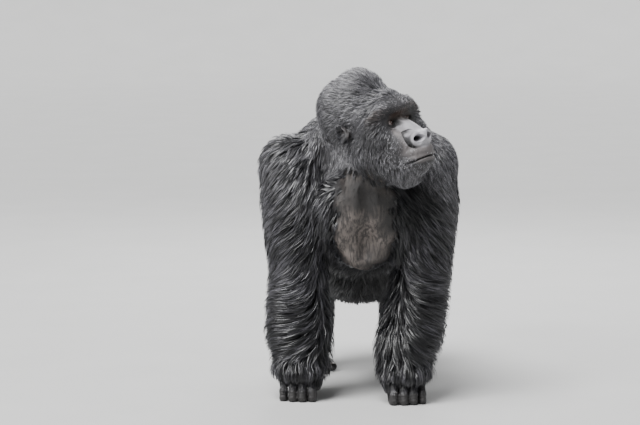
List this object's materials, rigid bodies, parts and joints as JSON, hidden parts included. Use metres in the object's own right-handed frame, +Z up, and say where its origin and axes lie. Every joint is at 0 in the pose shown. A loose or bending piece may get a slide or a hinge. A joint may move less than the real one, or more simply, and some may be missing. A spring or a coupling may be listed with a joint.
{
  "type": "silverback mountain gorilla",
  "caption": "Life-size adult male mountain gorilla, still, standing on all fours on its knuckles with the chest to the front and the head turned to its left.",
  "frame": {"origin": "on the floor, under the middle of the animal's bounding box", "axes": "+Z up, the chest faces -Y, the animal's own left side is at +X, which is also the narrowest direction"},
  "size_m": [0.7438, 1.1814, 1.2179],
  "materials": {
    "black coat": "long black hair with a grey-blue sheen",
    "silver coat": "hair that turns silver-grey over the back, black below, on a bare grey chest",
    "bare skin": "black-grey bare skin, slightly glossy",
    "eye": "wet dark brown eye"
  },
  "bodies": {
    "root": {"head": "black coat", "neck": "black coat", "trunk": "silver coat", "upper_arm_right": "black coat", "forearm_right": "black coat", "hand_right": "bare skin", "thigh_right": "black coat", "lower_leg_right": "black coat", "foot_right": "bare skin", "ear_right": "bare skin", "eye_right": "eye", "upper_arm_left": "black coat", "forearm_left": "black coat", "hand_left": "bare skin", "thigh_left": "black coat", "lower_leg_left": "black coat", "foot_left": "bare skin", "ear_left": "bare skin", "eye_left": "eye"}
  },
  "joints": []
}
